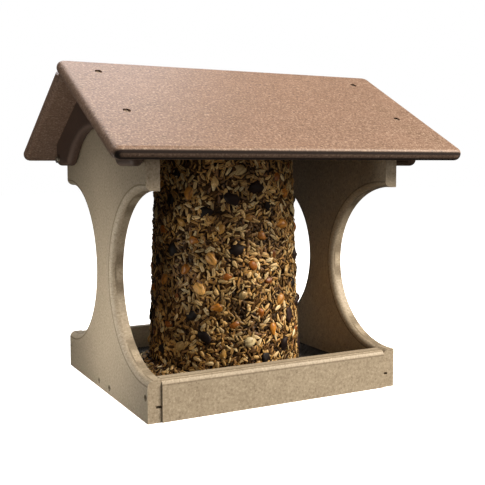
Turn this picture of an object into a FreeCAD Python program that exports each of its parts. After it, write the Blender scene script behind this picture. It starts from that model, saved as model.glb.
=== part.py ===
import FreeCAD, Part
import math
import os

# House-shaped feeder for a pressed seed log: two hourglass end panels, a tray with a screen floor,
# a log on an upright spindle and a gable roof that tilts back on two pivot screws.
# Millimetres. X runs along the ridge, the front faces -Y and +Z is up. The origin is the middle of
# the base, on the surface that the end panels and the tray rails stand on.

# End panels
panel_spacing = 190.3        # clear length between the two end panels
panel_thickness = 10.4
panel_depth = 188.0
panel_peak = 242.9           # height of the gable's point
foot_height = 30.3           # upright edge below each notch, beside the tray
shoulder_height = 32.9       # upright edge above each notch, up to the corner under the roof
notch_reach = 75.5           # how far the rounded notches cut in from the edges
notch_run = 6.5              # level stretch of a notch next to the edge, before its curve starts
shoulder_round = 7.0         # upper corner, rounded so that the roof can swing past
panel_edge_round = 4.9       # routed along the notches, on the left face of both panels

# Roof boards
roof_pitch = 28.0            # degrees from level
roof_thickness = 9.5
slope_length = 140.8         # from the ridge line down to the eave's tip, on the outer face
ridge_lap = 7.5              # how far the front board runs on past the ridge line
gable_overhang = 22.5        # board beyond the outer face of each gable plate
board_corner_round = 6.5
board_edge_round = 4.5
roof_seat_clearance = 0.3    # between the roof boards and the panels under them

# Gable plates under the roof's ends
plate_thickness = 9.5
plate_proud = 1.0            # how far the plates stand out past the panels' edges
plate_leg_length = 15.8      # upright edge of a leg, from the corner under the roof to its foot
arch_radius = 80.0
arch_crown_drop = 37.7       # from the boards' underside at the ridge down to the arch
plate_corner_round = 5.5
plate_edge_round = 4.5
plate_clearance = 0.4        # running gap between the left plate and its panel
side_play = 11.5             # gap on the right, as the roof lies over to that side

# Roof pivot screws
pivot_inset = 10.4           # from the panel's rear edge
pivot_rise = 5.5             # above the feet of the plate's legs
pivot_head = 6.4
pivot_head_height = 2.4
pivot_shank = 3.6
pivot_grip = 8.6             # length held in the end panel
pivot_fit = 0.05             # radial running clearance in the plate
pivot_end_play = 0.3         # between the screw's head and the plate

# Tray rails
rail_height = 30.5
rail_thickness = 10.4
rail_proud = 1.2             # how far the rails stand out past the panels' edges
rail_edge_round = 4.8
rail_end_gap = 0.2

# Screen floor and the bar that carries it
screen_thickness = 1.2
screen_fit = 0.3             # between the screen and the grooves and rails around it
groove_depth = 4.2
screen_pitch = 11.5          # spacing of the openings
screen_opening = 7.0
screen_border = 6.0
bar_width = 50.0
bar_thickness = 10.4
nut_recess = 6.0             # pocket in the bar's underside
joint_gap = 0.1              # hairline between pieces that are screwed together

# Spindle with its nuts and washers
spindle_diameter = 8.0
spindle_cover = 40.0         # from the spindle's tip up to the top of the log around it
spindle_tip_round = 2.0
spindle_foot_recess = 0.4    # above the bar's underside
nut_width = 13.0             # across the flats
nut_height = 4.0
washer_diameter = 17.0
washer_thickness = 1.2
pocket_clearance = 0.6       # around the washer in the bar's pocket
thread_fit = 0.05

# Seed log
log_base_diameter = 125.6    # without the lumps
log_top_diameter = 113.0
log_headroom = 22.7          # from the log's upper rim up to the roof boards
log_bore = 22.0
log_edge_round = 5.0
log_seat_clearance = 0.3
log_grid = 3.6               # spacing of the points that shape the log's side
lump_spacing = 20.0          # the larger nuts and fruits that stand out of the log's side
lump_width = 12.0
lump_rise = 1.6              # at the points of the grid: the smooth side passes a little below them
lump_margin = 13.0           # from the log's ends to the first and the last lump

# Screws that hold the boards
screw_fit = 0.05
screw_recess = 1.2           # from the board's surface down to the head
head_round = 0.7
tip_diameter = 0.8
slot_width = 0.9
slot_depth = 1.0
slot_end_wall = 0.9          # from the ends of the cross slot to the head's rim
roof_screw_head = 5.6
roof_screw_head_height = 2.2
roof_screw_shank = 3.2
roof_screw_length = 19.0
roof_screw_front_upper = 14.0    # from the ridge line, measured down the board
roof_screw_rear_upper = 26.0     # further down, clear of the front board that laps over
roof_screw_lower = 83.0
frame_screw_head = 4.8
frame_screw_head_height = 2.0
frame_screw_shank = 2.8
frame_screw_length = 24.0
rail_screw_height = 17.5
bar_screw_spread = 25.4      # between the two screws in each end of the bar

# Limits of the drawing
TOOL_MARGIN = 1.0            # length of a cutting tool past the face that it cuts
LEAST_FLAT = 0.4             # flat left on a wall that is rounded from both sides
SAME = 1e-3                  # places closer than this are the same
NUT_SIDES = 6
RIM_STEPS = 3                # points round each rim of the log
GOLDEN_TURN = math.pi * (3 - math.sqrt(5))    # from one lump to the next, which spreads them evenly

# Values that follow from the sizes above
V = FreeCAD.Vector
UP = V(0, 0, 1)
PITCH = math.radians(roof_pitch)
PANEL_IN = panel_spacing / 2
PANEL_OUT = PANEL_IN + panel_thickness
HALF_DEPTH = panel_depth / 2
PANEL_EAVE = panel_peak - HALF_DEPTH * math.tan(PITCH)
NOTCH_TOP = PANEL_EAVE - shoulder_height
NOTCH_HALF_HEIGHT = (NOTCH_TOP - foot_height) / 2
WAIST_HEIGHT = (NOTCH_TOP + foot_height) / 2
UNDERSIDE_PEAK = panel_peak + roof_seat_clearance / math.cos(PITCH)
RIDGE_HEIGHT = UNDERSIDE_PEAK + roof_thickness / math.cos(PITCH)
PLATE_INNER = {"left": -(PANEL_OUT + plate_clearance), "right": PANEL_OUT + side_play}
OUTWARD = {"left": -1, "right": 1}
PLATE_HALF = HALF_DEPTH + plate_proud
PLATE_PEAK = UNDERSIDE_PEAK - joint_gap / math.cos(PITCH)
PLATE_CORNER = PLATE_PEAK - PLATE_HALF * math.tan(PITCH)
PLATE_FOOT = PLATE_CORNER - plate_leg_length
ARCH_CENTRE = UNDERSIDE_PEAK - arch_crown_drop - arch_radius
PIVOT_Y = HALF_DEPTH - pivot_inset
PIVOT_Z = PLATE_FOOT + pivot_rise
RAIL_OUT = HALF_DEPTH + rail_proud
RAIL_IN = RAIL_OUT - rail_thickness
SCREEN_BOTTOM = bar_thickness + joint_gap
SCREEN_TOP = SCREEN_BOTTOM + screen_thickness
LOG_BASE = SCREEN_TOP + log_seat_clearance
LOG_TOP = UNDERSIDE_PEAK - log_top_diameter / 2 * math.tan(PITCH) - log_headroom
LOG_GIRTH = math.pi * (log_base_diameter + log_top_diameter) / 2
SPINDLE_TOP = LOG_TOP - spindle_cover
SPINDLE_HOLE = spindle_diameter / 2 + thread_fit
FRONT_SLOPE = FreeCAD.Placement(V(0, 0, RIDGE_HEIGHT), FreeCAD.Rotation(V(1, 0, 0), roof_pitch))
REAR_SLOPE = FreeCAD.Placement(V(0, 0, RIDGE_HEIGHT), FreeCAD.Rotation(V(1, 0, 0), -roof_pitch))
ROOF_SLOPES = {
    "front": (FRONT_SLOPE, -1, roof_screw_front_upper),
    "rear": (REAR_SLOPE, 1, roof_screw_rear_upper),
}
ROOF_SCREW = (roof_screw_head, roof_screw_head_height, roof_screw_shank, roof_screw_length)
FRAME_SCREW = (frame_screw_head, frame_screw_head_height, frame_screw_shank, frame_screw_length)


def plate_faces(side):
    """X of the plate's inner and outer face."""
    inner = PLATE_INNER[side]
    return inner, inner + OUTWARD[side] * plate_thickness


ROOF_LEFT = plate_faces("left")[1] - gable_overhang
ROOF_RIGHT = plate_faces("right")[1] + gable_overhang


def limited(radius, wall):
    """A rounding that leaves a thin flat on a wall that is rounded from both sides."""
    return min(radius, (wall - LEAST_FLAT) / 2)


def box(x_range, y_range, z_range):
    sizes = [high - low for low, high in (x_range, y_range, z_range)]
    return Part.makeBox(*sizes, V(x_range[0], y_range[0], z_range[0]))


def prism_x(outline, x_from, x_to):
    """Solid with an outline of (y, z) corners, running along X."""
    corners = [V(x_from, y, z) for y, z in outline]
    wire = Part.makePolygon(corners + corners[:1])
    return Part.Face(wire).extrude(V(x_to - x_from, 0, 0))


def rod_x(radius, y, z, ends):
    """Round bar or drill along X between two ends given in either order, and a little past them."""
    low, high = min(ends) - TOOL_MARGIN, max(ends) + TOOL_MARGIN
    return Part.makeCylinder(radius, high - low, V(low, y, z), V(1, 0, 0))


def rod_z(radius, z_from, z_to):
    return Part.makeCylinder(radius, z_to - z_from, V(0, 0, z_from), UP)


def placed(shape, placement):
    copy = shape.copy()
    copy.Placement = placement.multiply(copy.Placement)
    return copy


def middle(edge):
    return edge.valueAt((edge.FirstParameter + edge.LastParameter) / 2)


def edges_where(shape, keep):
    return [edge for edge in shape.Edges if keep(edge, middle(edge))]


def near(a, b):
    return abs(a - b) < SAME


def runs_along_x(edge):
    ends = [vertex.X for vertex in edge.Vertexes]
    return max(ends) - min(ends) > SAME


def screw(kind, recess):
    """Cross-slot screw in its own frame: +Z points out of the board, whose surface is at zero."""
    head, head_height, shank, length = kind
    seat = -recess - head_height
    body = rod_z(head / 2, seat, -recess)
    body = body.makeFillet(head_round, edges_where(body, lambda e, m: near(m.z, -recess)))
    body = body.fuse(rod_z(shank / 2, seat - length + shank, seat))
    body = body.fuse(Part.makeCone(tip_diameter / 2, shank / 2, shank, V(0, 0, seat - length)))
    slot_half = head / 2 - slot_end_wall
    for turn in (0, 90):
        slot = box((-slot_half, slot_half), (-slot_width / 2, slot_width / 2), (-recess - slot_depth, head))
        slot.rotate(V(0, 0, 0), UP, turn)
        body = body.cut(slot)
    return body.removeSplitter()


def screw_hole(kind, recess):
    """Room for the screw: a pocket for its head and a bore for its shank."""
    head, head_height, shank, length = kind
    seat = -recess - head_height
    pocket = rod_z(head / 2 + screw_fit, seat, head)
    bore = rod_z(shank / 2 + screw_fit, seat - length - screw_fit, seat)
    return pocket.fuse(bore)


def roof_screw_places(board, side):
    """Placements of the two screws that hold one board to one gable plate."""
    slope, downhill, upper = ROOF_SLOPES[board]
    x = sum(plate_faces(side)) / 2
    return [slope.multiply(FreeCAD.Placement(V(x, downhill * run, 0), FreeCAD.Rotation()))
            for run in (upper, roof_screw_lower)]


def panel_screw_place(side, y, z):
    sign = OUTWARD[side]
    return FreeCAD.Placement(V(sign * PANEL_OUT, y, z), FreeCAD.Rotation(UP, V(sign, 0, 0)))


def rail_screw_places(side):
    y = (RAIL_IN + RAIL_OUT) / 2
    return [panel_screw_place(side, sign * y, rail_screw_height) for sign in (-1, 1)]


def bar_screw_places(side):
    return [panel_screw_place(side, sign * bar_screw_spread / 2, bar_thickness / 2) for sign in (-1, 1)]


def screws(kind, places):
    return Part.makeCompound([placed(screw(kind, screw_recess), place) for place in places])


def drilled(shape, kind, places):
    for place in places:
        shape = shape.cut(placed(screw_hole(kind, screw_recess), place))
    return shape


def roof_board(y_range):
    """Board in its slope's own frame: the ridge line is Y zero and the outer face is Z zero."""
    board = box((ROOF_LEFT, ROOF_RIGHT), y_range, (-roof_thickness, 0))
    corners = edges_where(board, lambda e, m: near(m.z, -roof_thickness / 2))
    board = board.makeFillet(board_corner_round, corners)
    flat_edges = edges_where(board, lambda e, m: near(m.z, 0) or near(m.z, -roof_thickness))
    return board.makeFillet(limited(board_edge_round, roof_thickness), flat_edges)


def roof_board_front():
    board = placed(roof_board((-slope_length, ridge_lap)), FRONT_SLOPE)
    for side in OUTWARD:
        board = drilled(board, ROOF_SCREW, roof_screw_places("front", side))
    return board


def roof_board_rear():
    """The rear board is cut off along the underside of the front board, which laps over it."""
    spare = ridge_lap + 2 * roof_thickness / math.tan(PITCH)
    board = placed(roof_board((-spare, slope_length)), REAR_SLOPE)
    above = box((2 * ROOF_LEFT, 2 * ROOF_RIGHT), (-slope_length, 2 * slope_length),
                (-roof_thickness - joint_gap, slope_length))
    board = board.cut(placed(above, FRONT_SLOPE))
    for side in OUTWARD:
        board = drilled(board, ROOF_SCREW, roof_screw_places("rear", side))
    return board


def gable_plate(side):
    """Plate between the roof boards, with an arch cut from below that leaves two short legs."""
    faces = plate_faces(side)
    outline = [(-PLATE_HALF, PLATE_FOOT), (-PLATE_HALF, PLATE_CORNER), (0, PLATE_PEAK),
               (PLATE_HALF, PLATE_CORNER), (PLATE_HALF, PLATE_FOOT)]
    plate = prism_x(outline, *faces)
    plate = plate.cut(rod_x(arch_radius, 0, ARCH_CENTRE, faces))
    feet = edges_where(plate, lambda e, m: runs_along_x(e) and near(m.z, PLATE_FOOT))
    plate = plate.makeFillet(plate_corner_round, feet)
    seats = [PLATE_PEAK - abs(middle(edge).y) * math.tan(PITCH) for edge in plate.Edges]
    routed = [edge for edge, seat in zip(plate.Edges, seats)
              if not runs_along_x(edge) and middle(edge).z < seat - joint_gap]
    plate = plate.makeFillet(limited(plate_edge_round, plate_thickness), routed)
    plate = plate.cut(rod_x(pivot_shank / 2 + pivot_fit, PIVOT_Y, PIVOT_Z, faces))
    for board in ROOF_SLOPES:
        plate = drilled(plate, ROOF_SCREW, roof_screw_places(board, side))
    return plate


def pivot_screw(side):
    """Screw through the plate's rear leg into the panel. The plate turns on its plain shank."""
    outer = plate_faces(side)[1]
    length = pivot_end_play + abs(outer) - PANEL_OUT + pivot_grip
    kind = (pivot_head, pivot_head_height, pivot_shank, length)
    place = FreeCAD.Placement(V(outer, PIVOT_Y, PIVOT_Z), FreeCAD.Rotation(UP, V(OUTWARD[side], 0, 0)))
    return placed(screw(kind, -pivot_end_play - pivot_head_height), place)


def notch(edge_side, faces):
    """Cutter for one upright edge of a panel: half an ellipse between two level runs."""
    centre = V(min(faces) - TOOL_MARGIN, edge_side * (HALF_DEPTH - notch_run), WAIST_HEIGHT)
    inner = V(0, -edge_side * (notch_reach - notch_run), 0)
    upper = V(0, 0, NOTCH_HALF_HEIGHT)
    if inner.Length >= upper.Length:
        ellipse = Part.Ellipse(centre + inner, centre + upper, centre)
        curve = Part.Arc(ellipse, -math.pi / 2, math.pi / 2)
    else:
        ellipse = Part.Ellipse(centre + upper, centre + inner, centre)
        curve = Part.Arc(ellipse, 0, math.pi)
    start, end = curve.StartPoint, curve.EndPoint
    past_edge = V(0, edge_side * (notch_run + TOOL_MARGIN), 0)
    sides = Part.makePolygon([end, end + past_edge, start + past_edge, start]).Edges
    face = Part.Face(Part.Wire([curve.toShape()] + sides))
    return face.extrude(V(panel_thickness + 2 * TOOL_MARGIN, 0, 0))


def end_panel(side):
    """Hourglass panel with a gabled top, a groove for the screen and holes for its screws."""
    sign = OUTWARD[side]
    faces = (sign * PANEL_IN, sign * PANEL_OUT)
    outline = [(-HALF_DEPTH, 0), (-HALF_DEPTH, PANEL_EAVE), (0, panel_peak),
               (HALF_DEPTH, PANEL_EAVE), (HALF_DEPTH, 0)]
    panel = prism_x(outline, *faces)
    shoulders = edges_where(panel, lambda e, m: runs_along_x(e) and near(m.z, PANEL_EAVE))
    panel = panel.makeFillet(shoulder_round, shoulders)
    for edge_side in (-1, 1):
        panel = panel.cut(notch(edge_side, faces))

    def along_notch(edge, point):
        return near(point.x, min(faces)) and abs(point.z - WAIST_HEIGHT) < NOTCH_HALF_HEIGHT + SAME

    routed = edges_where(panel, along_notch)
    panel = panel.makeFillet(limited(panel_edge_round, panel_thickness), routed)
    groove_x = sorted((sign * (PANEL_IN - TOOL_MARGIN), sign * (PANEL_IN + groove_depth)))
    groove_z = (SCREEN_BOTTOM - screen_fit, SCREEN_TOP + screen_fit)
    panel = panel.cut(box(groove_x, (-panel_depth, panel_depth), groove_z))
    pivot_end = sign * (PANEL_OUT - pivot_grip)
    panel = panel.cut(rod_x(pivot_shank / 2 + screw_fit, PIVOT_Y, PIVOT_Z, (pivot_end, sign * PANEL_OUT)))
    return drilled(panel, FRAME_SCREW, rail_screw_places(side) + bar_screw_places(side))


def tray_rail(sign):
    """Low wall of the tray between the panels, its outer top edge rounded."""
    length = PANEL_IN - rail_end_gap
    rail = box((-length, length), sorted((sign * RAIL_IN, sign * RAIL_OUT)), (0, rail_height))
    routed = edges_where(rail, lambda e, m: near(m.z, rail_height) and near(m.y, sign * RAIL_OUT))
    rail = rail.makeFillet(limited(rail_edge_round, rail_thickness), routed)
    for side in OUTWARD:
        rail = drilled(rail, FRAME_SCREW, rail_screw_places(side))
    return rail


def support_bar():
    """Bar across the base under the screen. The spindle's lower nut sits in its pocket."""
    length = PANEL_IN - rail_end_gap
    bar = box((-length, length), (-bar_width / 2, bar_width / 2), (0, bar_thickness))
    bar = bar.cut(rod_z(SPINDLE_HOLE, -TOOL_MARGIN, bar_thickness + TOOL_MARGIN))
    pocket_radius = washer_diameter / 2 + pocket_clearance
    bar = bar.cut(rod_z(pocket_radius, -TOOL_MARGIN, nut_recess))
    for side in OUTWARD:
        bar = drilled(bar, FRAME_SCREW, bar_screw_places(side))
    return bar


def grid_places(span):
    """Evenly spaced middles of the openings that fit across the screen."""
    count = int((span - 2 * screen_border) // screen_pitch)
    return [(index - (count - 1) / 2) * screen_pitch for index in range(count)]


def floor_screen():
    """Perforated sheet, whole around the spindle and along its border."""
    half_x = PANEL_IN + groove_depth - screen_fit
    half_y = RAIL_IN - screen_fit
    sheet = Part.makePlane(2 * half_x, 2 * half_y, V(-half_x, -half_y, SCREEN_BOTTOM))
    keep_clear = washer_diameter / 2 + screen_opening
    openings = []
    for x in grid_places(2 * half_x):
        for y in grid_places(2 * half_y):
            if math.hypot(x, y) > keep_clear:
                corner = V(x - screen_opening / 2, y - screen_opening / 2, SCREEN_BOTTOM)
                openings.append(Part.makePlane(screen_opening, screen_opening, corner))
    sheet = sheet.cut(Part.makeCompound(openings)).Faces[0].extrude(V(0, 0, screen_thickness))
    return sheet.cut(rod_z(SPINDLE_HOLE, 0, SCREEN_TOP + TOOL_MARGIN))


def washer(z_from):
    z_to = z_from + washer_thickness
    blank = rod_z(washer_diameter / 2, z_from, z_to)
    return blank.cut(rod_z(SPINDLE_HOLE, z_from - TOOL_MARGIN, z_to + TOOL_MARGIN))


def nut(z_from):
    corners = [V(nut_width / math.sqrt(3), 0, z_from)]
    for step in range(1, NUT_SIDES + 1):
        turn = FreeCAD.Rotation(UP, 360 / NUT_SIDES * step)
        corners.append(turn.multVec(corners[0]))
    blank = Part.Face(Part.makePolygon(corners)).extrude(V(0, 0, nut_height))
    return blank.cut(rod_z(SPINDLE_HOLE, z_from - TOOL_MARGIN, z_from + nut_height + TOOL_MARGIN))


def spindle():
    rod = rod_z(spindle_diameter / 2, spindle_foot_recess, SPINDLE_TOP)
    return rod.makeFillet(spindle_tip_round, edges_where(rod, lambda e, m: near(m.z, SPINDLE_TOP)))


def log_radius(z):
    """Radius of the log's side under its lumps, which falls evenly from the base to the top."""
    share = (z - LOG_BASE) / (LOG_TOP - LOG_BASE)
    return (log_base_diameter + (log_top_diameter - log_base_diameter) * share) / 2


def lump_places():
    """Angle and height of each lump, along a spiral."""
    low, high = LOG_BASE + lump_margin, LOG_TOP - lump_margin
    count = int(LOG_GIRTH * (high - low) / lump_spacing ** 2)
    return [(index * GOLDEN_TURN, low + (high - low) * index / (count - 1)) for index in range(count)]


def lump_height(places, angle, z):
    """How far the lumps stand out of the log's side at an angle and a height."""
    height = 0
    for lump_angle, lump_z in places:
        turn = math.remainder(angle - lump_angle, math.tau)
        off = math.hypot(turn * log_radius(z), z - lump_z) / (lump_width / 2)
        height = max(height, lump_rise * (1 - off ** 2))
    return height


def log_rows():
    """Inset and height of the points up the log's side, with its two rounded rims."""
    arc = [math.radians(90 * step / RIM_STEPS) for step in range(RIM_STEPS + 1)]
    rim = [(log_edge_round * (1 - math.sin(turn)), log_edge_round * (1 - math.cos(turn))) for turn in arc]
    straight = LOG_TOP - LOG_BASE - 2 * log_edge_round
    count = round(straight / log_grid)
    lower = [(inset, LOG_BASE + rise) for inset, rise in rim]
    side = [(0, LOG_BASE + log_edge_round + straight * step / count) for step in range(1, count)]
    upper = [(inset, LOG_TOP - rise) for inset, rise in reversed(rim)]
    return lower + side + upper


def log_side():
    """Side of the log as one smooth face that closes on itself, drawn by a grid of points."""
    rows = log_rows()
    places = lump_places()
    columns = round(LOG_GIRTH / log_grid)
    grid = []
    for column in range(columns):
        angle = math.tau * column / columns
        outward = V(math.cos(angle), math.sin(angle), 0)
        reaches = [log_radius(z) - inset + lump_height(places, angle, z) for inset, z in rows]
        grid.append([outward * reach + UP * z for reach, (inset, z) in zip(reaches, rows)])
    degree = 3
    spans = len(rows) - degree
    around = [1] * (columns + 1)
    upward = [degree + 1] + [1] * (spans - 1) + [degree + 1]
    surface = Part.BSplineSurface()
    surface.buildFromPolesMultsKnots(grid, around, upward, list(range(columns + 1)), list(range(spans + 1)),
                                     True, False, degree, degree)
    return surface.toShape()


def seed_log():
    """Slightly tapered log of pressed seed with a bore that drops over the spindle."""
    side = log_side()
    faces = [side]
    for level, outward in ((LOG_BASE, -1), (LOG_TOP, 1)):
        rim = edges_where(side, lambda e, m: near(e.BoundBox.ZMin, level) and near(e.BoundBox.ZMax, level))
        end = Part.Face(Part.Wire(rim))
        if end.normalAt(0, 0).z * outward < 0:
            end.reverse()
        faces.append(end)
    log = Part.Solid(Part.Shell(faces))
    return log.cut(rod_z(log_bore / 2, 0, LOG_TOP + TOOL_MARGIN))


def build():
    lower_washer = nut_recess - joint_gap - washer_thickness
    upper_washer = SCREEN_TOP + joint_gap
    nodes = {
        "roof_board_front": roof_board_front(),
        "roof_board_rear": roof_board_rear(),
        "tray_rail_front": tray_rail(-1),
        "tray_rail_rear": tray_rail(1),
        "support_bar": support_bar(),
        "floor_screen": floor_screen(),
        "log_spindle": spindle(),
        "spindle_washer_lower": washer(lower_washer),
        "spindle_nut_lower": nut(lower_washer - joint_gap - nut_height),
        "spindle_washer_upper": washer(upper_washer),
        "spindle_nut_upper": nut(upper_washer + washer_thickness + joint_gap),
        "seed_log": seed_log(),
    }
    for side in OUTWARD:
        nodes["end_panel_" + side] = end_panel(side)
        nodes["gable_plate_" + side] = gable_plate(side)
        nodes["roof_pivot_screw_" + side] = pivot_screw(side)
        nodes["rail_screws_" + side] = screws(FRAME_SCREW, rail_screw_places(side))
        nodes["bar_screws_" + side] = screws(FRAME_SCREW, bar_screw_places(side))
        nodes["roof_screws_front_" + side] = screws(ROOF_SCREW, roof_screw_places("front", side))
        nodes["roof_screws_rear_" + side] = screws(ROOF_SCREW, roof_screw_places("rear", side))
    return nodes


os.makedirs("parts", exist_ok=True)
for name, shape in build().items():
    shape.exportStep("parts/" + name + ".step")
    print(name, "solids", len(shape.Solids), "valid", shape.isValid(), "volume", round(shape.Volume, 1))
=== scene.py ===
import math
import random
import bpy
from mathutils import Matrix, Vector, noise


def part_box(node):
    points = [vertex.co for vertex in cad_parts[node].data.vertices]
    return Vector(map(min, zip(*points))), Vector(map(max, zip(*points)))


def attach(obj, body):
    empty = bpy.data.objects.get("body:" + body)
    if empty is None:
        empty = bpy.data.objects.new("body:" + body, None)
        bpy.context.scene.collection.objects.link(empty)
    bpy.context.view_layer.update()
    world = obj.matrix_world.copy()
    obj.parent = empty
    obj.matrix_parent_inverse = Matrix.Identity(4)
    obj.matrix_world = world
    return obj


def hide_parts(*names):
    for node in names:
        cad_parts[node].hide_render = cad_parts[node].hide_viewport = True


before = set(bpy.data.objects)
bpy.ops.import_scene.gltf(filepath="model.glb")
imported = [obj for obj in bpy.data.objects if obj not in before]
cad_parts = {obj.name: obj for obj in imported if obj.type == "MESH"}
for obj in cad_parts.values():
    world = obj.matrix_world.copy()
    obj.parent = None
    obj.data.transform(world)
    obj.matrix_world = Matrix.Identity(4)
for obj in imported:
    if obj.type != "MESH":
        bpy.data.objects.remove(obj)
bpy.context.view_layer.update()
scene = bpy.context.scene
MM = 0.001

# Node types that are used most
MATH = "ShaderNodeMath"
VECTOR = "ShaderNodeVectorMath"
COMBINE = "ShaderNodeCombineXYZ"
SEPARATE = "ShaderNodeSeparateXYZ"
COORDINATES = "ShaderNodeTexCoord"
MAPPING = "ShaderNodeMapping"
NOISE = "ShaderNodeTexNoise"
RANGE = "ShaderNodeMapRange"
MIX = "ShaderNodeMix"
RAMP = "ShaderNodeValToRGB"
RANDOM = "FunctionNodeRandomValue"

# Camera of the photograph: metres, degrees, and millimetres for the lens and sensor
CAMERA_PLACE = (-0.3025, -0.6039, 0.1786)
CAMERA_YAW = 27.76
CAMERA_DOWN = 4.53
CAMERA_LENS = 60.1
CAMERA_SENSOR = 36
CAMERA_SHIFT = (0.0053, -0.0304)

# Floor, backdrop and lights, in metres and watts
WHITE = "#ffffff"
AMBIENT = 0.035               # strength of the light that comes from all round
FLOOR_BOUNCE = "#3c3b3a"      # how pale the floor is to what stands on it
FLOOR_PAPER = "#f4f3f1"       # how pale it is in the picture
FLOOR_GLOW = 0.97             # lifts the floor to white in the picture, as far as the horizon
FLOOR_REACH = 4.0
SHADE_INSET = 2.0 * MM        # the darker floor field under the feeder, painted shade, ends this far inside its walls
LIGHT_AIM = (0, 0, 0.12)
# Name, place, aim, size, power and colour of each light
LIGHTS = [
    ("rear_softbox", (0.1, 0.75, 1.1), LIGHT_AIM, (0.7, 0.5), 5.5, "#f7f9ff"),
    ("right_front_softbox", (1.12, -0.92, 1.08), LIGHT_AIM, (0.95, 0.95), 58, "#fff4e4"),
    ("left_softbox", (-0.5, -0.08, 1.2), LIGHT_AIM, (0.5, 0.5), 6, "#fffcf6"),
    ("left_low_card", (-0.5, 0.1, 0.02), (-0.1, 0.05, 0.15), (0.1, 0.4), 0.15, "#fffaf0"),
    ("left_foot_card", (-0.2, -0.01, 0.015), (-0.1, 0, 0.04), (0.03, 0.2), 0.2, "#fffaf0"),
    ("front_fill", (-0.5, -1.3, 0.3), LIGHT_AIM, (0.8, 0.5), 1.3, "#fff6ea"),
    ("right_fill", (0.5, -1.2, 0.25), LIGHT_AIM, (0.8, 0.4), 1.5, "#fff6ea"),
]

# Sizes of the surface patterns, in millimetres
BOARD_DRIFT = 45              # slow change of shade over a board
BOARD_STREAK = 3.5            # width of the streaks that the extrusion leaves
BOARD_GRIT = 1.6              # flecks
BOARD_PEEL = 1.1              # orange-peel skin
BOARD_PEEL_DEPTH = 0.12
STEEL_CLOUD = 1.2             # cloudiness of the plating or paint
WIRE_DUST = 14                # patches of dust on the screen
BINDER_MEAL = 2.2             # seed dust in the binder
CORE_DENT = 4                 # dents in the log's core
SEED_DENT = 3.5               # dents and wrinkles of the seeds
SEED_GROOVE_DEPTH = 0.2       # grooves along a seed
SOAK_PATCH = 24               # patches of the log that are soaked with binder
CLUMP_PATCH = 26              # patches where seeds of one kind lie together

# Boards: shades, then where each fleck starts and is full with its shade, then roughness
BROWN = ([(0.3, "#7d6452"), (0.5, "#856a59"), (0.7, "#8d715f")],
         [(0.53, 0.72, "#c0a793"), (0.47, 0.28, "#453329")], 0.4)
# Gable plates: a darker copy of the roof's brown, painted shade where they face sideways under the eaves
SHADED_BROWN = ([(0.3, "#4a382f"), (0.5, "#503d34"), (0.7, "#564339")],
        [(0.54, 0.76, "#6e594c"), (0.46, 0.24, "#2f231d")], 0.4)
TAUPE = ([(0.3, "#a69781"), (0.5, "#ae9f89"), (0.7, "#b6a791")],
         [(0.53, 0.74, "#d0c3ab"), (0.47, 0.26, "#7c6e59")], 0.45)
STREAK_DRAW = 0.12            # how much slower a board's streaks change along it than across
EDGE_DULLNESS = 0.45          # what the edges' shade adds to the roughness
# Rounded edges: their shade, and how much of it shows at each turn in degrees away from the flat faces
# Eaves: painted shade where the edge faces forward and down, away from the lights, with a painted highlight
# along its middle
EAVE_PAINTED_SHADE = ("#1c0d06", [(8, "#d0d0d0"), (22, "#ffffff"), (40, "#ffffff"), (57, "#000000")])
# Gable plates: a paler band on the rounded edges, a painted highlight
PLATE_PAINTED_HIGHLIGHT = ("#7a6456", [(20, "#000000"), (50, "#b0b0b0")])
PANEL_EDGE = ("#54452f", [(3, "#000000"), (7, "#c0c0c0"), (12, "#c0c0c0"), (18, "#000000")])
ROOF_PITCH = math.radians(28)
GABLE_PLATES = ["gable_plate_left", "gable_plate_right"]
BODY_BOARDS = ["end_panel_left", "end_panel_right", "tray_rail_front", "tray_rail_rear", "support_bar"]
# How the nodes' names start, finish, dark and light tint, roughness and metallic
HARDWARE = [
    (("roof_screws",), "brown_coated_screw", ("#ab9786", "#c4b2a1"), 0.5, 0.0),
    (("rail_screws", "bar_screws"), "dark_coated_screw", ("#0e0a08", "#1d1712"), 0.8, 0.0),
    (("roof_pivot",), "bright_plated_pivot", ("#a39d92", "#cfc9bd"), 0.3, 1.0),
    (("log_spindle", "spindle"), "zinc_plated_spindle", ("#8f9193", "#b9bbbb"), 0.35, 1.0),
]

# Seed log, as its solid is made
LOG_BASE_RADIUS = 62.8 * MM
LOG_TOP_RADIUS = 56.5 * MM
LOG_BORE_RADIUS = 11.0 * MM
LOG_RIM_ROUND = 5.0 * MM
LUMP_SPACING = 20.0 * MM
LUMP_MARGIN = 13.0 * MM
LUMP_RISE = 1.4 * MM
GOLDEN_TURN = math.pi * (3 - math.sqrt(5))

# How the log's seeds and core are set
LOG_RINGS = 44
SKIN_SEGMENTS = 96
CORE_SEGMENTS = 128
CORE_ROUGHNESS = 1.2 * MM
CORE_DEPTH = 1.6 * MM         # the binder, painted dark as the shade between the seeds, shows this far inside the outline
BED_DEPTH = 0.35 * MM         # the lowest seeds' outer faces lie this far inside
LUMP_PATCH = 1.5 * MM         # half the side of the square that the nuts on a lump are set on
LUMP_SEED = 5                 # which lump is which nut or fruit
SEED_CLEARANCE = 0.1 * MM     # no seed reaches lower than this above what it stands on
MOST_SEEDS = 1e6              # per square metre, so many that the spacing alone sets their number
RIM_PAINTED_SHADE = "#2a1808"         # painted shade on each seed's low rim, where the seeds meet
# A seed's own coordinates run from -1 to 1 over it, so its streaks keep to its size
SEED_STREAK = 2.4
SEED_STREAK_DRAW = (0.3, 1.2, 1.2)

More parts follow.
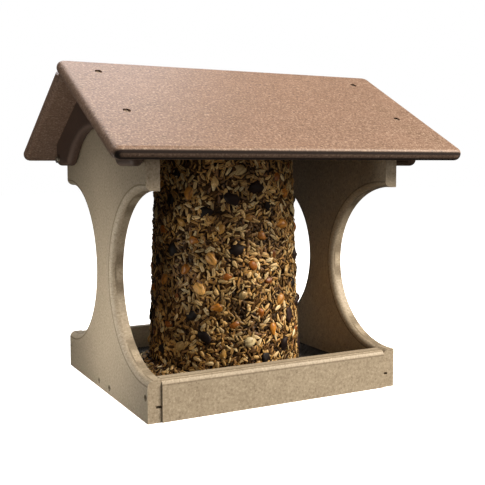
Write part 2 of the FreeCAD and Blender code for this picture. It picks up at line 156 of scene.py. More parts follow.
# Loose seed on the screen, at the log's foot towards the left and the front
HEAP_FROM = math.radians(118)
HEAP_TO = math.radians(262)
HEAP_RADIUS = 66.5 * MM
HEAP_WIDTH = 14.0 * MM
HEAP_HEIGHT = 8.0 * MM
HEAP_WAVES = 11               # waves of its height in a full turn
HEAP_WAVE_SHARE = 0.25        # their height as a share of the heap's
HEAP_END_CREST = 0.1 * MM     # height where it runs out
HEAP_END_WIDTH = 0.4          # width where it runs out, as a share
HEAP_BEND = (0.45, 0.55)      # where its slope bends: shares of the width and of the height
HEAP_STEPS = 36
HEAP_MEAL_DEPTH = 1.0 * MM
HEAP_SEED_DEPTH = 0.5 * MM
HEAP_TILT = 0.5
HEAP_SEED_OFFSET = 100        # sets the loose seeds apart from the pressed ones of the same kind

# Woven floor screen, drawn coarser than the real one, which is too fine to show
WIRE_PITCH = 2.6 * MM
WIRE_RADIUS = 0.3 * MM
WIRE_SIDES = 4
WEAVE_RISE = 0.28 * MM


def linear(code):
    """Linear colour of an sRGB hex value."""
    parts = [int(code[i:i + 2], 16) / 255 for i in (1, 3, 5)]
    return [p / 12.92 if p <= 0.04045 else ((p + 0.055) / 1.055) ** 2.4 for p in parts] + [1.0]


def per(millimetres):
    """Texture scale of a pattern whose features are about this large."""
    return 1 / (millimetres * MM)


def add(tree, kind, inputs=None, stops=(), **settings):
    """Adds a node with its settings, sets or links its inputs and gives a ramp its (place, hex) stops."""
    node = tree.nodes.new(kind)
    for key, value in settings.items():
        setattr(node, key, value)
    for key, value in (inputs or {}).items():
        if isinstance(value, bpy.types.NodeSocket):
            tree.links.new(value, node.inputs[key])
        else:
            node.inputs[key].default_value = value
    for index, (place, code) in enumerate(stops):
        elements = node.color_ramp.elements
        element = elements[index] if index < len(elements) else elements.new(place)
        element.position = place
        element.color = linear(code)
    return node


def new_material(name, values):
    """Material with one principled shader. Returns it with its tree and the shader's inputs."""
    material = bpy.data.materials.new(name)
    material.use_nodes = True
    shader = material.node_tree.nodes["Principled BSDF"].inputs
    for key, value in values.items():
        shader[key].default_value = value
    return material, material.node_tree, shader


def placed(name, mesh, *materials):
    """Object of a mesh with its materials, at the origin."""
    for material in materials:
        mesh.materials.append(material)
    piece = bpy.data.objects.new(name, mesh)
    scene.collection.objects.link(piece)
    return piece


def mesh_of(name, points, faces):
    """Mesh from points and faces."""
    mesh = bpy.data.meshes.new(name)
    mesh.from_pydata(points, [], faces)
    return mesh


# Finishes

def recycled_board(name, shades, flecks, roughness, faces, edge_tone_and_painted_light):
    """Extruded recycled polyethylene board: matt, slightly waxy, with fine pale and dark flecks all
    through, faint streaks along the extrusion and an orange-peel skin. Its rounded edges get another, duller
    shade, which depends on how far the surface turns away from the flat faces: on the eaves painted shade
    with a painted highlight along the middle, on the gable plates a painted highlight, and on the panels a
    thin dark line where the rounding starts."""
    edge_shade, edge_turns = edge_tone_and_painted_light
    material, tree, shader = new_material(name, {"IOR": 1.51})
    at = add(tree, COORDINATES).outputs
    drift = add(tree, NOISE, {"Vector": at["Object"], "Scale": per(BOARD_DRIFT), "Detail": 3})
    drawn = add(tree, MAPPING, {"Vector": at["Object"], "Scale": (STREAK_DRAW, 1, 1)})
    streaks = add(tree, NOISE, {"Vector": drawn.outputs[0], "Scale": per(BOARD_STREAK), "Detail": 4})
    tone = add(tree, MATH, {0: drift.outputs[0], 1: streaks.outputs[0]}, operation="ADD")
    tone = add(tree, MATH, {0: tone.outputs[0], 1: 0.5}, operation="MULTIPLY")
    colour = add(tree, RAMP, {0: tone.outputs[0]}, stops=shades).outputs["Color"]
    grit = add(tree, NOISE,
               {"Vector": at["Object"], "Scale": per(BOARD_GRIT), "Detail": 5, "Roughness": 0.65})
    for start, full, code in flecks:
        mask = add(tree, RANGE, {"Value": grit.outputs[0], "From Min": start, "From Max": full})
        mixed = add(tree, MIX, {0: mask.outputs[0], 6: colour, 7: linear(code)}, data_type="RGBA")
        colour = mixed.outputs[2]
    flat = 0.0
    for face in faces:
        facing = add(tree, VECTOR, {0: at["Normal"], 1: face}, operation="DOT_PRODUCT")
        flat = add(tree, MATH, {0: facing.outputs["Value"], 1: flat}, operation="MAXIMUM").outputs[0]
    turn = add(tree, MATH, {0: flat}, operation="ARCCOSINE")
    turns = [(math.radians(angle), grey) for angle, grey in edge_turns]
    edge = add(tree, RAMP, {0: turn.outputs[0]}, stops=turns).outputs["Color"]
    mixed = add(tree, MIX, {0: edge, 6: colour, 7: linear(edge_shade)}, data_type="RGBA")
    peel = add(tree, NOISE, {"Vector": at["Object"], "Scale": per(BOARD_PEEL), "Detail": 3})
    bump = add(tree, "ShaderNodeBump",
               {"Height": peel.outputs[0], "Strength": 0.35, "Distance": BOARD_PEEL_DEPTH * MM})
    gloss = add(tree, RANGE, {"Value": grit.outputs[0], "To Min": roughness, "To Max": roughness + 0.2})
    gloss = add(tree, MATH, {0: edge, 1: EDGE_DULLNESS, 2: gloss.outputs[0]}, operation="MULTIPLY_ADD")
    tree.links.new(mixed.outputs[2], shader["Base Color"])
    tree.links.new(gloss.outputs[0], shader["Roughness"])
    tree.links.new(bump.outputs[0], shader["Normal"])
    return material


def plated_steel(name, tints, roughness, metallic):
    """Zinc-plated or coated steel: a slightly cloudy shine, or a dull one under a coat of paint."""
    dark, light = tints
    material, tree, shader = new_material(name, {"Metallic": metallic})
    at = add(tree, COORDINATES).outputs["Object"]
    cloud = add(tree, NOISE, {"Vector": at, "Scale": per(STEEL_CLOUD), "Detail": 4}).outputs[0]
    colour = add(tree, RAMP, {0: cloud}, stops=[(0.3, dark), (0.7, light)])
    gloss = add(tree, RANGE, {"Value": cloud, "To Min": roughness - 0.1, "To Max": roughness + 0.1})
    tree.links.new(colour.outputs["Color"], shader["Base Color"])
    tree.links.new(gloss.outputs[0], shader["Roughness"])
    return material


def black_screen():
    """Black-coated wire: dull charcoal with a dusty bloom of seed meal."""
    material, tree, shader = new_material("black_coated_wire", {"Roughness": 0.6})
    at = add(tree, COORDINATES).outputs["Object"]
    dust = add(tree, NOISE, {"Vector": at, "Scale": per(WIRE_DUST), "Detail": 6}).outputs[0]
    colour = add(tree, RAMP, {0: dust}, stops=[(0.4, "#3f3b37"), (0.62, "#504a42"), (0.8, "#746853")])
    tree.links.new(colour.outputs["Color"], shader["Base Color"])
    return material


def gap_shade_binder():
    """Gelatine binder with seed dust, painted nearly black as the shade in the gaps between the seeds."""
    material, tree, shader = new_material("seed_log_binder", {"Roughness": 0.9, "IOR": 1.2})
    at = add(tree, COORDINATES).outputs["Object"]
    meal = add(tree, NOISE, {"Vector": at, "Scale": per(BINDER_MEAL), "Detail": 5}).outputs[0]
    colour = add(tree, RAMP, {0: meal}, stops=[(0.35, "#1a0f06"), (0.55, "#33200e"), (0.75, "#573a1a")])
    tree.links.new(colour.outputs["Color"], shader["Base Color"])
    return material


def seed_coat(name, shades, stripe, roughness, ior=1.4):
    """Dry seed: each one has its own shade from the ramp, darker streaks along it, a dull gloss and painted
    shade on its low rim, where it meets its neighbours. Where more binder has soaked in, whole patches of
    the log are darker."""
    stripe_share, stripe_shade = stripe
    material, tree, shader = new_material(name, {"Roughness": roughness, "IOR": ior})
    tint = add(tree, "ShaderNodeAttribute", attribute_name="tint").outputs["Fac"]
    local = add(tree, "ShaderNodeAttribute", attribute_name="seed_place").outputs["Vector"]
    colour = add(tree, RAMP, {0: tint}, stops=shades).outputs["Color"]
    drawn = add(tree, MAPPING, {"Vector": local, "Scale": SEED_STREAK_DRAW})
    shifted = add(tree, VECTOR, {0: drawn.outputs[0], 1: tint}, operation="ADD")
    streak = add(tree, NOISE, {"Vector": shifted.outputs[0], "Scale": SEED_STREAK, "Detail": 4}).outputs[0]
    mask = add(tree, RANGE, {"Value": streak, "From Min": 0.45, "From Max": 0.62, "To Max": stripe_share})
    striped = add(tree, MIX, {0: mask.outputs[0], 6: colour, 7: linear(stripe_shade)}, data_type="RGBA")
    # Painted shade: each seed is darkened towards its low rim, where it meets its neighbours
    height = add(tree, SEPARATE, {0: local}).outputs[2]
    unshaded = add(tree, RANGE, {"Value": height, "From Min": 0.02, "From Max": 0.3})
    rim_shaded = add(tree, MIX, {0: unshaded.outputs[0], 6: linear(RIM_PAINTED_SHADE), 7: striped.outputs[2]},
                  data_type="RGBA")
    at = add(tree, COORDINATES).outputs["Object"]
    soak = add(tree, NOISE, {"Vector": at, "Scale": per(SOAK_PATCH), "Detail": 2}).outputs[0]
    soak = add(tree, RANGE,
               {"Value": soak, "From Min": 0.36, "From Max": 0.62, "To Min": 0.65, "To Max": 1.25})
    soaked = add(tree, VECTOR, {0: rim_shaded.outputs[2], "Scale": soak.outputs[0]}, operation="SCALE")
    bump = add(tree, "ShaderNodeBump",
               {"Height": streak, "Strength": 0.4, "Distance": SEED_GROOVE_DEPTH * MM})
    tree.links.new(soaked.outputs[0], shader["Base Color"])
    tree.links.new(bump.outputs[0], shader["Normal"])
    return material


# Trees that grow pieces

def new_tree(name, sizes):
    """Geometry Nodes tree with a geometry in and out and one named input for each size."""
    tree = bpy.data.node_groups.new(name, "GeometryNodeTree")
    tree.interface.new_socket("Geometry", in_out="INPUT", socket_type="NodeSocketGeometry")
    for label, socket in sizes.items():
        tree.interface.new_socket(label, in_out="INPUT", socket_type="NodeSocket" + socket)
    tree.interface.new_socket("Geometry", in_out="OUTPUT", socket_type="NodeSocketGeometry")
    return tree, tree.nodes.new("NodeGroupInput").outputs, tree.nodes.new("NodeGroupOutput").inputs


def grown(name, mesh, tree, values):
    """Runs a tree on a mesh and keeps the result as a plain mesh object."""
    piece = placed(name, mesh)
    modifier = piece.modifiers.new("growth", "NODES")
    modifier.node_group = tree
    for item in tree.interface.items_tree:
        if item.name in values:
            modifier[item.identifier] = values[item.name]
    graph = bpy.context.evaluated_depsgraph_get()
    result = bpy.data.meshes.new_from_object(piece.evaluated_get(graph))
    piece.modifiers.remove(modifier)
    piece.data = result
    return piece


def seed_tree():
    """Seeds scattered over a surface, lying on it in all directions, each with its own tint."""
    lengths = ("Spacing", "Length", "Width", "Thickness", "Rise", "Wrinkle", "Lowest")
    shares = ("Taper", "Hollow", "Tilt", "Spread", "Clump")
    sizes = {label: "Float" for label in lengths + shares}
    sizes.update({"Sides": "Int", "Rings": "Int", "Seed": "Int", "Material": "Material"})
    tree, given, result = new_tree("scattered_seeds", sizes)
    draw = given["Seed"]
    place = add(tree, "GeometryNodeInputPosition").outputs[0]

    # One seed: a ball that narrows towards one end, hollowed on its upper side and drawn to its size
    ball = add(tree, "GeometryNodeMeshUVSphere",
               {"Segments": given["Sides"], "Rings": given["Rings"], "Radius": 1.0})
    axes = add(tree, SEPARATE, {0: place}).outputs
    narrowing = add(tree, MATH, {0: axes[2], 1: given["Taper"]}, operation="MULTIPLY").outputs[0]
    narrowing = add(tree, MATH, {0: 1.0, 1: narrowing}, operation="SUBTRACT").outputs[0]
    outside = add(tree, MATH, {0: axes[1], 1: 0.0}, operation="MAXIMUM").outputs[0]
    sunk = add(tree, MATH, {0: outside, 1: given["Hollow"]}, operation="MULTIPLY").outputs[0]
    flat = add(tree, MATH, {0: axes[1], 1: sunk}, operation="SUBTRACT").outputs[0]
    across = add(tree, MATH, {0: axes[0], 1: narrowing}, operation="MULTIPLY").outputs[0]
    upward = add(tree, MATH, {0: flat, 1: narrowing}, operation="MULTIPLY").outputs[0]
    unit = add(tree, COMBINE, {0: axes[2], 1: across, 2: upward}).outputs[0]
    size = add(tree, COMBINE, {0: given["Length"], 1: given["Width"], 2: given["Thickness"]}).outputs[0]
    half = add(tree, VECTOR, {0: size, "Scale": 0.5}, operation="SCALE").outputs[0]
    shaped = add(tree, VECTOR, {0: unit, 1: half}, operation="MULTIPLY").outputs[0]
    tagged = add(tree, "GeometryNodeStoreNamedAttribute",
                 {"Geometry": ball.outputs["Mesh"], "Name": "seed_place", "Value": unit},
                 data_type="FLOAT_VECTOR", domain="POINT")
    seed = add(tree, "GeometryNodeSetPosition", {"Geometry": tagged.outputs[0], "Position": shaped})

    # Where seeds lie: evenly spaced, or mostly in clumps
    patches = add(tree, NOISE, {"Vector": place, "Scale": per(CLUMP_PATCH), "Detail": 1.0}).outputs[0]
    bare = add(tree, MATH, {0: 1.0, 1: given["Clump"]}, operation="SUBTRACT").outputs[0]
    share = add(tree, RANGE, {"Value": patches, "From Min": 0.46, "From Max": 0.56, "To Min": bare})
    spots = add(tree, "GeometryNodeDistributePointsOnFaces",
                {"Mesh": given["Geometry"], "Distance Min": given["Spacing"], "Density Max": MOST_SEEDS,
                 "Density Factor": share.outputs[0], "Seed": draw}, distribute_method="POISSON")

    # How each seed lies: turned any way, tilted, larger or smaller, and more or less proud
    lean = add(tree, MATH, {0: given["Tilt"], 1: -1.0}, operation="MULTIPLY").outputs[0]
    least = add(tree, COMBINE, {0: lean, 1: lean, 2: 0.0}).outputs[0]
    most = add(tree, COMBINE, {0: given["Tilt"], 1: given["Tilt"], 2: math.tau}).outputs[0]
    turn = add(tree, RANDOM, {0: least, 1: most, "Seed": draw}, data_type="FLOAT_VECTOR")
    turn = add(tree, "FunctionNodeEulerToRotation", {0: turn.outputs[0]})
    turned = add(tree, "FunctionNodeRotateRotation", {0: spots.outputs["Rotation"], 1: turn.outputs[0]},
                 rotation_space="LOCAL")
    smallest = add(tree, MATH, {0: 1.0, 1: given["Spread"]}, operation="SUBTRACT").outputs[0]
    largest = add(tree, MATH, {0: 1.0, 1: given["Spread"]}, operation="ADD").outputs[0]
    growth = add(tree, RANDOM, {2: smallest, 3: largest, "Seed": draw}, data_type="FLOAT")
    laid = add(tree, "GeometryNodeInstanceOnPoints",
               {"Points": spots.outputs["Points"], "Instance": seed.outputs[0],
                "Rotation": turned.outputs[0], "Scale": growth.outputs[1]})
    lift = add(tree, RANDOM, {2: 0.0, 3: given["Rise"], "Seed": draw}, data_type="FLOAT")
    lift = add(tree, VECTOR, {0: spots.outputs["Normal"], "Scale": lift.outputs[1]}, operation="SCALE")
    raised = add(tree, "GeometryNodeTranslateInstances",
                 {"Instances": laid.outputs[0], "Translation": lift.outputs[0], "Local Space": False})
    tint = add(tree, RANDOM, {2: 0.0, 3: 1.0, "Seed": draw}, data_type="FLOAT")
    tinted = add(tree, "GeometryNodeStoreNamedAttribute",
                 {"Geometry": raised.outputs[0], "Name": "tint", "Value": tint.outputs[1]},
                 data_type="FLOAT", domain="INSTANCE")
    real = add(tree, "GeometryNodeRealizeInstances", {"Geometry": tinted.outputs[0]})

    # Dents, and nothing lower than what the seeds stand on
    dents = add(tree, NOISE, {"Vector": place, "Scale": per(SEED_DENT), "Detail": 1.0}).outputs["Color"]
    dents = add(tree, VECTOR, {0: dents, 1: (0.5, 0.5, 0.5)}, operation="SUBTRACT").outputs[0]
    dents = add(tree, VECTOR, {0: dents, "Scale": given["Wrinkle"]}, operation="SCALE").outputs[0]
    dented = add(tree, "GeometryNodeSetPosition", {"Geometry": real.outputs[0], "Offset": dents})
    ground = add(tree, COMBINE, {0: -1.0, 1: -1.0, 2: given["Lowest"]}).outputs[0]
    above = add(tree, VECTOR, {0: place, 1: ground}, operation="MAXIMUM").outputs[0]
    seated = add(tree, "GeometryNodeSetPosition", {"Geometry": dented.outputs[0], "Position": above})
    smooth = add(tree, "GeometryNodeSetShadeSmooth", {"Geometry": seated.outputs[0]})
    made = add(tree, "GeometryNodeSetMaterial",
               {"Geometry": smooth.outputs[0], "Material": given["Material"]})
    tree.links.new(made.outputs[0], result["Geometry"])
    return tree


def screen_tree():
    """Plain weave of round wires, cut out around the spindle."""
    lengths = ("Pitch", "Wire Radius", "Rise", "Half Length", "Half Depth", "Level", "Hole")
    sizes = {label: "Float" for label in lengths}
    tree, given, result = new_tree("woven_screen", {**sizes, "Material": "Material"})
    joined = add(tree, "GeometryNodeJoinGeometry")
    place = add(tree, "GeometryNodeInputPosition").outputs[0]
    axes = add(tree, SEPARATE, {0: place}).outputs

    # A wire is highest over one crossing and lowest under the next, and its neighbours the other way round
    waves = []
    for axis in (0, 1):
        turns = add(tree, MATH, {0: axes[axis], 1: given["Pitch"]}, operation="DIVIDE").outputs[0]
        angle = add(tree, MATH, {0: turns, 1: math.pi}, operation="MULTIPLY").outputs[0]
        waves.append(add(tree, MATH, {0: angle}, operation="COSINE").outputs[0])
    weave = add(tree, MATH, {0: waves[0], 1: waves[1]}, operation="MULTIPLY").outputs[0]
    reach = add(tree, VECTOR, {0: place}, operation="LENGTH").outputs["Value"]
    inside = add(tree, "FunctionNodeCompare", {0: reach, 1: given["Hole"]}, operation="LESS_THAN").outputs[0]

    # Each way has a line of points along one wire, every half pitch, and one of wires, every pitch
    ways = ((0, "Half Length", "Half Depth", 1.0), (1, "Half Depth", "Half Length", -1.0))
    for run, along, beside, sign in ways:
        lines = []
        for axis, label, share in ((run, along, 0.5), (1 - run, beside, 1.0)):
            step = add(tree, MATH, {0: given["Pitch"], 1: share}, operation="MULTIPLY").outputs[0]
            count = add(tree, MATH, {0: given[label], 1: step}, operation="DIVIDE").outputs[0]
            count = add(tree, MATH, {0: count}, operation="FLOOR").outputs[0]
            total = add(tree, MATH, {0: count, 1: 2.0, 2: 1.0}, operation="MULTIPLY_ADD").outputs[0]
            span = add(tree, MATH, {0: count, 1: step}, operation="MULTIPLY").outputs[0]
            start = add(tree, MATH, {0: span, 1: -1.0}, operation="MULTIPLY").outputs[0]
            first = add(tree, COMBINE, {axis: start}).outputs[0]
            offset = add(tree, COMBINE, {axis: step}).outputs[0]
            line = add(tree, "GeometryNodeMeshLine",
                       {"Count": total, "Start Location": first, "Offset": offset})
            lines.append(line.outputs[0])
        wires = add(tree, "GeometryNodeInstanceOnPoints", {"Points": lines[1], "Instance": lines[0]})
        wires = add(tree, "GeometryNodeRealizeInstances", {"Geometry": wires.outputs[0]})
        wires = add(tree, "GeometryNodeDeleteGeometry", {"Geometry": wires.outputs[0], "Selection": inside})
        height = add(tree, MATH, {0: weave, 1: sign}, operation="MULTIPLY").outputs[0]
        height = add(tree, MATH, {0: height, 1: given["Rise"]}, operation="MULTIPLY").outputs[0]
        bent = add(tree, COMBINE, {2: height}).outputs[0]
        wires = add(tree, "GeometryNodeSetPosition", {"Geometry": wires.outputs[0], "Offset": bent})
        tree.links.new(wires.outputs[0], joined.inputs[0])
    curve = add(tree, "GeometryNodeMeshToCurve", {"Mesh": joined.outputs[0]})
    ring = add(tree, "GeometryNodeCurvePrimitiveCircle",
               {"Resolution": WIRE_SIDES, "Radius": given["Wire Radius"]})
    wire = add(tree, "GeometryNodeCurveToMesh",
               {"Curve": curve.outputs[0], "Profile Curve": ring.outputs[0], "Fill Caps": True})
    level = add(tree, COMBINE, {2: given["Level"]}).outputs[0]
    raised = add(tree, "GeometryNodeTransform", {"Geometry": wire.outputs[0], "Translation": level})
    real = add(tree, "GeometryNodeRealizeInstances", {"Geometry": raised.outputs[0]})
    smooth = add(tree, "GeometryNodeSetShadeSmooth", {"Geometry": real.outputs[0]})
    made = add(tree, "GeometryNodeSetMaterial",
               {"Geometry": smooth.outputs[0], "Material": given["Material"]})
    tree.links.new(made.outputs[0], result["Geometry"])
    return tree


# Kinds of seed

def seed_sizes(length, width, thickness, spacing, seed, taper=0.35, hollow=0.0, tilt=0.15, rise=0.7,
               spread=0.3, clump=0.0, wrinkle=0.2, sides=6, rings=4):
    """Inputs of one kind of seed, with its lengths in millimetres."""
    lengths = {"Length": length, "Width": width, "Thickness": thickness, "Spacing": spacing, "Rise": rise,
               "Wrinkle": wrinkle}
    values = {label: value * MM for label, value in lengths.items()}
    values.update({"Taper": taper, "Hollow": hollow, "Tilt": tilt, "Spread": spread, "Clump": clump,
                   "Sides": sides, "Rings": rings, "Seed": seed})
    return values


def small_seeds():
    """Name, finish and sizes of each kind of seed that covers the log."""
    hull = seed_coat("sunflower_hull",
                     [(0.0, "#24160a"), (0.2, "#553a1b"), (0.45, "#83602f"), (0.6, "#9a7048"),
                      (0.8, "#c08e48"), (0.92, "#d2ac6e"), (1.0, "#e8cf9c")],
                     (0.75, "#2a1a0c"), 0.38)
    black_hull = seed_coat("black_sunflower_hull",
                           [(0.0, "#0d0805"), (0.6, "#21150a"), (1.0, "#4a3015")],
                           (0.4, "#6b4f2b"), 0.55, 1.2)
    kernel = seed_coat("sunflower_kernel",
                       [(0.0, "#7d5529"), (0.3, "#ac7a3a"), (0.55, "#c09a62"), (0.8, "#ddb472"),
                        (1.0, "#f2deb0")],
                       (0.5, "#5e3d1a"), 0.4)
    chip = seed_coat("seed_chip",
                     [(0.0, "#2a1a0c"), (0.3, "#6b4a20"), (0.6, "#a07840"), (0.85, "#c89a55"),
                      (1.0, "#e2c286")],
                     (0.5, "#2a1a0c"), 0.45)
    return [
        ("sunflower_hulls", hull, seed_sizes(7.4, 2.5, 1.2, 3.0, 11, hollow=0.4)),
        ("dark_hulls", black_hull, seed_sizes(7.8, 2.6, 1.2, 4.3, 19, hollow=0.4)),
        ("sunflower_kernels", kernel, seed_sizes(6.6, 3.0, 1.5, 4.8, 23, clump=0.7)),
        ("seed_chips", chip,
         seed_sizes(4.8, 1.5, 0.8, 2.8, 37, hollow=0.3, tilt=0.3, rise=1.0, sides=5, rings=3)),
    ]


def nuts_and_fruits():
    """Share of the log's lumps, name, finish and sizes of each large kind."""
    peanut = seed_coat("peanut", [(0.0, "#7a4012"), (0.35, "#a8641f"), (0.7, "#c98532"), (1.0, "#deb068")],
                       (0.6, "#552e0e"), 0.35)
    corn = seed_coat("cracked_corn", [(0.0, "#8a5c24"), (0.5, "#b98f4c"), (1.0, "#e2cf9f")],
                     (0.55, "#6b4718"), 0.35)
    cherry = seed_coat("dried_cherry", [(0.0, "#0c0706"), (0.6, "#1a0e0b"), (1.0, "#2c1812")],
                       (0.5, "#070403"), 0.6, 1.3)
    return [
        (0.42, "peanut_pieces", peanut,
         seed_sizes(10.0, 7.6, 4.8, 8.0, 41, taper=0.25, tilt=0.4, rise=0.3, spread=0.25, wrinkle=3.0,
                    sides=10, rings=7)),
        (0.3, "corn_kernels", corn,
         seed_sizes(9.0, 6.4, 4.2, 8.0, 53, taper=0.35, tilt=0.4, rise=0.3, spread=0.25, wrinkle=2.6,
                    sides=10, rings=7)),
        (0.3, "dried_cherries", cherry,
         seed_sizes(12.0, 9.2, 4.8, 9.0, 67, taper=0.2, tilt=0.2, rise=0.1, spread=0.25, wrinkle=4.0,
                    sides=14, rings=10)),
    ]


# Seed log

def lathe(name, profile, segments, roughness=0.0):
    """Mesh turned about the upright axis from (radius, height) points, roughened by a steady noise."""
    points = []
    for radius, height in profile:
        for step in range(segments):
            angle = math.tau * step / segments
            spot = Vector((radius * math.cos(angle), radius * math.sin(angle), height))
            swell = 1 + roughness * noise.noise(spot * per(CORE_DENT)) / radius
            points.append((spot.x * swell, spot.y * swell, spot.z))
    faces = []
    for row in range(len(profile) - 1):
        low = row * segments
        high = low + segments
        for step in range(segments):
            after = (step + 1) % segments
            faces.append((low + step, low + after, high + after, high + step))
    return mesh_of(name, points, faces)


def log_radius(share):
    """Radius of the log's side at a share of its height."""
    return LOG_BASE_RADIUS + (LOG_TOP_RADIUS - LOG_BASE_RADIUS) * share


def log_profile(depth, with_base):
    """Outer profile of the log, drawn in by a depth, from its base or its bottom rim to its bore's top."""
    low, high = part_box("seed_log")
    bottom = low.z + depth
    top = high.z - depth
    points = [(LOG_BORE_RADIUS + depth, bottom)] if with_base else []
    for ring in range(LOG_RINGS + 1):
        share = ring / LOG_RINGS
        height = bottom + (top - bottom) * share
        inset = LOG_RIM_ROUND - min(LOG_RIM_ROUND, height - bottom, top - height)
        rounding = LOG_RIM_ROUND - math.sqrt(LOG_RIM_ROUND ** 2 - inset ** 2)
        points.append((log_radius(share) - depth - rounding, height))
    points.append((LOG_BORE_RADIUS + depth, top))
    return points


def lump_places():
    """Angle and height of the log's lumps, on the same spiral as on its solid."""
    low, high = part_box("seed_log")
    first = low.z + LUMP_MARGIN
    last = high.z - LUMP_MARGIN
    girth = math.pi * (LOG_BASE_RADIUS + LOG_TOP_RADIUS)
    count = int(girth * (last - first) / LUMP_SPACING ** 2)
    return [(index * GOLDEN_TURN, first + (last - first) * index / (count - 1)) for index in range(count)]


def lump_patches(name, places, thickness):
    """Small square on each lump of the log's side, for the few large nuts or fruits that land on it."""
    low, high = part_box("seed_log")
    corners = ((-LUMP_PATCH, -LUMP_PATCH), (LUMP_PATCH, -LUMP_PATCH), (LUMP_PATCH, LUMP_PATCH),
               (-LUMP_PATCH, LUMP_PATCH))
    points = []
    for angle, height in places:
        share = (height - low.z) / (high.z - low.z)
        out = Vector((math.cos(angle), math.sin(angle), 0))
        along = Vector((-out.y, out.x, 0))
        middle = out * (log_radius(share) + LUMP_RISE - thickness / 2) + Vector((0, 0, height))
        for side, up in corners:
            points.append(middle + along * side + Vector((0, 0, up)))
    return mesh_of(name, points, [range(first, first + 4) for first in range(0, len(points), 4)])


def build_log(binder, tree, seeds, lump_kinds):
    """Core of binder, painted dark as the shade between the seeds, with the seeds pressed flush into it, as
    the mould leaves them, and a large nut or fruit on each lump."""
    outline = log_profile(CORE_DEPTH, True)
    core = lathe("seed_log_core", outline + outline[:1], CORE_SEGMENTS, CORE_ROUGHNESS)
    pieces = [placed("seed_log_core", core, binder)]
    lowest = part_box("seed_log")[0].z + SEED_CLEARANCE
    for name, coat, values in seeds:
        skin = lathe(name, log_profile(values["Thickness"] / 2 + BED_DEPTH, False), SKIN_SEGMENTS)
        pieces.append(grown(name, skin, tree, {**values, "Lowest": lowest, "Material": coat}))
    places = lump_places()
    chances = [entry[0] for entry in lump_kinds]
    picks = random.Random(LUMP_SEED).choices(range(len(lump_kinds)), chances, k=len(places))
    for index, (share, name, coat, values) in enumerate(lump_kinds):
        chosen = [place for place, pick in zip(places, picks) if pick == index]
        patches = lump_patches(name, chosen, values["Thickness"])
        pieces.append(grown(name, patches, tree, {**values, "Lowest": lowest, "Material": coat}))
    for piece in pieces:
        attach(piece, "log")
        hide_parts("seed_log")


# Loose seed

def heap_section(angle, depth):
    """Outline of the loose seed at one angle round the log: its foot at the log, crest, slope and toe."""
    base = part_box("floor_screen")[1].z
    share = (angle - HEAP_FROM) / (HEAP_TO - HEAP_FROM)
    swell = math.sin(math.pi * share) * (1 + HEAP_WAVE_SHARE * math.sin(HEAP_WAVES * angle))
    crest = max(HEAP_HEIGHT * swell - depth, HEAP_END_CREST)
    reach = HEAP_WIDTH * (HEAP_END_WIDTH + (1 - HEAP_END_WIDTH) * swell)
    inner = HEAP_RADIUS + depth
    bend = (inner + HEAP_BEND[0] * reach, base + HEAP_BEND[1] * crest)
    return [(inner, base), (inner, base + crest), bend, (inner + reach, base)]


def heap_mesh(name, depth, closed):
    """The heap of loose seed as a closed body, or only its upper side for the seeds to lie on."""
    points = []
    for step in range(HEAP_STEPS + 1):
        angle = HEAP_FROM + (HEAP_TO - HEAP_FROM) * step / HEAP_STEPS
        for radius, height in heap_section(angle, depth):
            points.append((radius * math.cos(angle), radius * math.sin(angle), height))
    faces = []
    for step in range(HEAP_STEPS):
        here = 4 * step
        ahead = here + 4
        for side in (0, 1, 2, 3) if closed else (1, 2):
            after = (side + 1) % 4
            faces.append((here + side, here + after, ahead + after, ahead + side))
    if closed:
        last = 4 * HEAP_STEPS
        faces += [(3, 2, 1, 0), (last, last + 1, last + 2, last + 3)]
    return mesh_of(name, points, faces)


def build_heap(binder, tree, seeds):
    """Loose seed that has fallen off the log and lies on the screen against its foot."""
    # The meal under the loose seeds has the binder's dark colour, painted shade between them
    meal = heap_mesh("loose_seed_meal", HEAP_MEAL_DEPTH, True)
    pieces = [placed("loose_seed_meal", meal, binder)]
    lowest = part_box("floor_screen")[1].z + SEED_CLEARANCE
    for name, coat, values in seeds:
        surface = heap_mesh("loose_" + name, HEAP_SEED_DEPTH, False)
        loose = {**values, "Material": coat, "Tilt": HEAP_TILT, "Clump": 0.0, "Lowest": lowest,
                 "Seed": values["Seed"] + HEAP_SEED_OFFSET}
        pieces.append(grown("loose_" + name, surface, tree, loose))
    for piece in pieces:
        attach(piece, "feeder_body")


# Floor screen

def build_screen():
    """Woven wire that fills the place of the perforated floor, from groove to groove."""
    low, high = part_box("floor_screen")
    values = {"Pitch": WIRE_PITCH, "Wire Radius": WIRE_RADIUS, "Rise": WEAVE_RISE,
              "Half Length": high.x, "Half Depth": high.y, "Level": (low.z + high.z) / 2,
              "Hole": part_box("log_spindle")[1].x + WIRE_PITCH / 2, "Material": black_screen()}
    nothing = bpy.data.meshes.new("floor_screen_weave")
    screen = grown("floor_screen_weave", nothing, screen_tree(), values)
    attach(screen, "feeder_body")
    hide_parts("floor_screen")


# Boards and hardware, which keep their CAD shapes

def dress(nodes, material):
    """Gives CAD nodes their material."""
    for name in nodes:
        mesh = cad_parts[name].data
        mesh.materials.clear()
        mesh.materials.append(material)


def both_ways(faces):
    """Face directions with their opposites."""
    return faces + [tuple(-part for part in face) for face in faces]


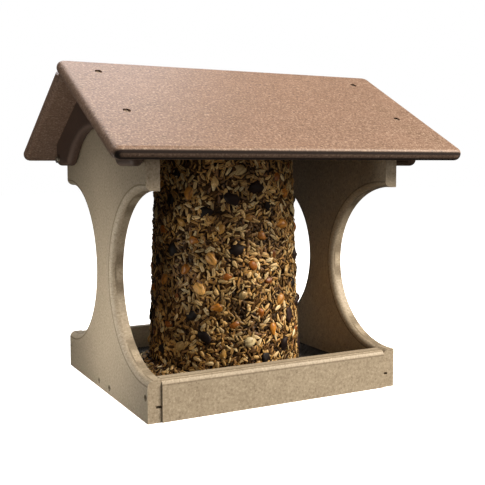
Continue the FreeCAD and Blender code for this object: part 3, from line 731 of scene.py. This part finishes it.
def dress_boards():
    """Brown roof boards with eaves painted dark as shade, gable plates in a darker copy of the brown as
    painted shade, with a painted highlight on their edges, and taupe panels, rails and bar.
    """
    rise = math.sin(ROOF_PITCH)
    run = math.cos(ROOF_PITCH)
    eaves = {"roof_board_front": (0, -run, -rise), "roof_board_rear": (0, run, -rise)}
    slopes = both_ways([(0, rise, run), (0, -rise, run)])
    ends = both_ways([(1, 0, 0)])
    sides = both_ways([(0, 1, 0), (0, 0, 1)])
    for board, eave in eaves.items():
        dress([board], recycled_board("brown_polyethylene_" + board, *BROWN, [eave], EAVE_PAINTED_SHADE))
    plate = recycled_board("brown_polyethylene_plate", *SHADED_BROWN, slopes + ends, PLATE_PAINTED_HIGHLIGHT)
    dress(GABLE_PLATES, plate)
    panel = recycled_board("taupe_recycled_polyethylene", *TAUPE, slopes + ends + sides, PANEL_EDGE)
    dress(BODY_BOARDS, panel)


def dress_hardware():
    """Screws, pivots and the spindle with its nuts and washers."""
    for starts, finish, tints, roughness, metallic in HARDWARE:
        nodes = [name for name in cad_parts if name.startswith(starts)]
        dress(nodes, plated_steel(finish, tints, roughness, metallic))


# Studio

def floor_mesh():
    """Floor in nine fields. The middle one, under the feeder, shows through its screen: it keeps the floor's
    dark colour and no glow, painted shade on top of the shade that the feeder casts.
    """
    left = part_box("end_panel_left")[0].x + SHADE_INSET
    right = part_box("end_panel_right")[1].x - SHADE_INSET
    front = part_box("tray_rail_front")[0].y + SHADE_INSET
    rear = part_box("tray_rail_rear")[1].y - SHADE_INSET
    across = (-FLOOR_REACH, left, right, FLOOR_REACH)
    along = (-FLOOR_REACH, front, rear, FLOOR_REACH)
    points = [(x, y, 0) for y in along for x in across]
    corners = [4 * row + column for row in range(3) for column in range(3)]
    mesh = mesh_of("floor", points, [(corner, corner + 1, corner + 5, corner + 4) for corner in corners])
    mesh.polygons[4].material_index = 1
    return mesh


def build_floor():
    """Pale floor that is white in the picture but throws little light back at the feeder."""
    pale, tree, shader = new_material("pale_studio_floor",
                                      {"Roughness": 0.9, "Emission Color": linear(WHITE)})
    seen = add(tree, "ShaderNodeLightPath").outputs["Is Camera Ray"]
    paper = add(tree, MIX, {0: seen, 6: linear(FLOOR_BOUNCE), 7: linear(FLOOR_PAPER)}, data_type="RGBA")
    glow = add(tree, MATH, {0: seen, 1: FLOOR_GLOW}, operation="MULTIPLY")
    tree.links.new(paper.outputs[2], shader["Base Color"])
    tree.links.new(glow.outputs[0], shader["Emission Strength"])
    # The field under the feeder: dark and without glow, painted shade
    shaded = new_material("shaded_studio_floor", {"Roughness": 0.9, "Base Color": linear(FLOOR_BOUNCE)})[0]
    floor = placed("floor", floor_mesh(), pale, shaded)


def build_backdrop():
    """White backdrop that gives only a weak light from all round."""
    world = bpy.data.worlds.new("studio")
    world.use_nodes = True
    tree = world.node_tree
    seen = add(tree, "ShaderNodeLightPath").outputs["Is Camera Ray"]
    strength = add(tree, MATH, {0: seen, 1: 1 - AMBIENT, 2: AMBIENT}, operation="MULTIPLY_ADD")
    backdrop = tree.nodes["Background"].inputs
    backdrop["Color"].default_value = linear(WHITE)
    tree.links.new(strength.outputs[0], backdrop["Strength"])
    scene.world = world


def build_lights():
    """Softboxes high up behind, at the right front and at the left, two low cards at the left that
    light the end panel from below, and two weak fills for the log under the roof."""
    for name, place, aim, size, power, colour in LIGHTS:
        light = bpy.data.lights.new(name, "AREA")
        light.shape = "RECTANGLE"
        light.size, light.size_y = size
        light.energy = power
        light.color = linear(colour)[:3]
        lamp = bpy.data.objects.new(name, light)
        lamp.visible_camera = False
        lamp.location = place
        lamp.rotation_euler = (Vector(aim) - Vector(place)).to_track_quat("-Z", "Y").to_euler()
        scene.collection.objects.link(lamp)


def build_camera():
    """Camera at the photograph's place, with plain colours."""
    data = bpy.data.cameras.new("photo_camera")
    data.sensor_width = CAMERA_SENSOR
    data.lens = CAMERA_LENS
    data.shift_x, data.shift_y = CAMERA_SHIFT
    camera = bpy.data.objects.new("photo_camera", data)
    camera.location = CAMERA_PLACE
    camera.rotation_euler = (math.radians(90 - CAMERA_DOWN), 0, math.radians(-CAMERA_YAW))
    scene.collection.objects.link(camera)
    scene.camera = camera
    scene.view_settings.view_transform = "Standard"


binder_and_gap_shade = gap_shade_binder()
scattered_seeds = seed_tree()
seed_kinds = small_seeds()
build_log(binder_and_gap_shade, scattered_seeds, seed_kinds, nuts_and_fruits())
build_heap(binder_and_gap_shade, scattered_seeds, seed_kinds)
build_screen()
dress_boards()
dress_hardware()
build_floor()
build_backdrop()
build_lights()
build_camera()
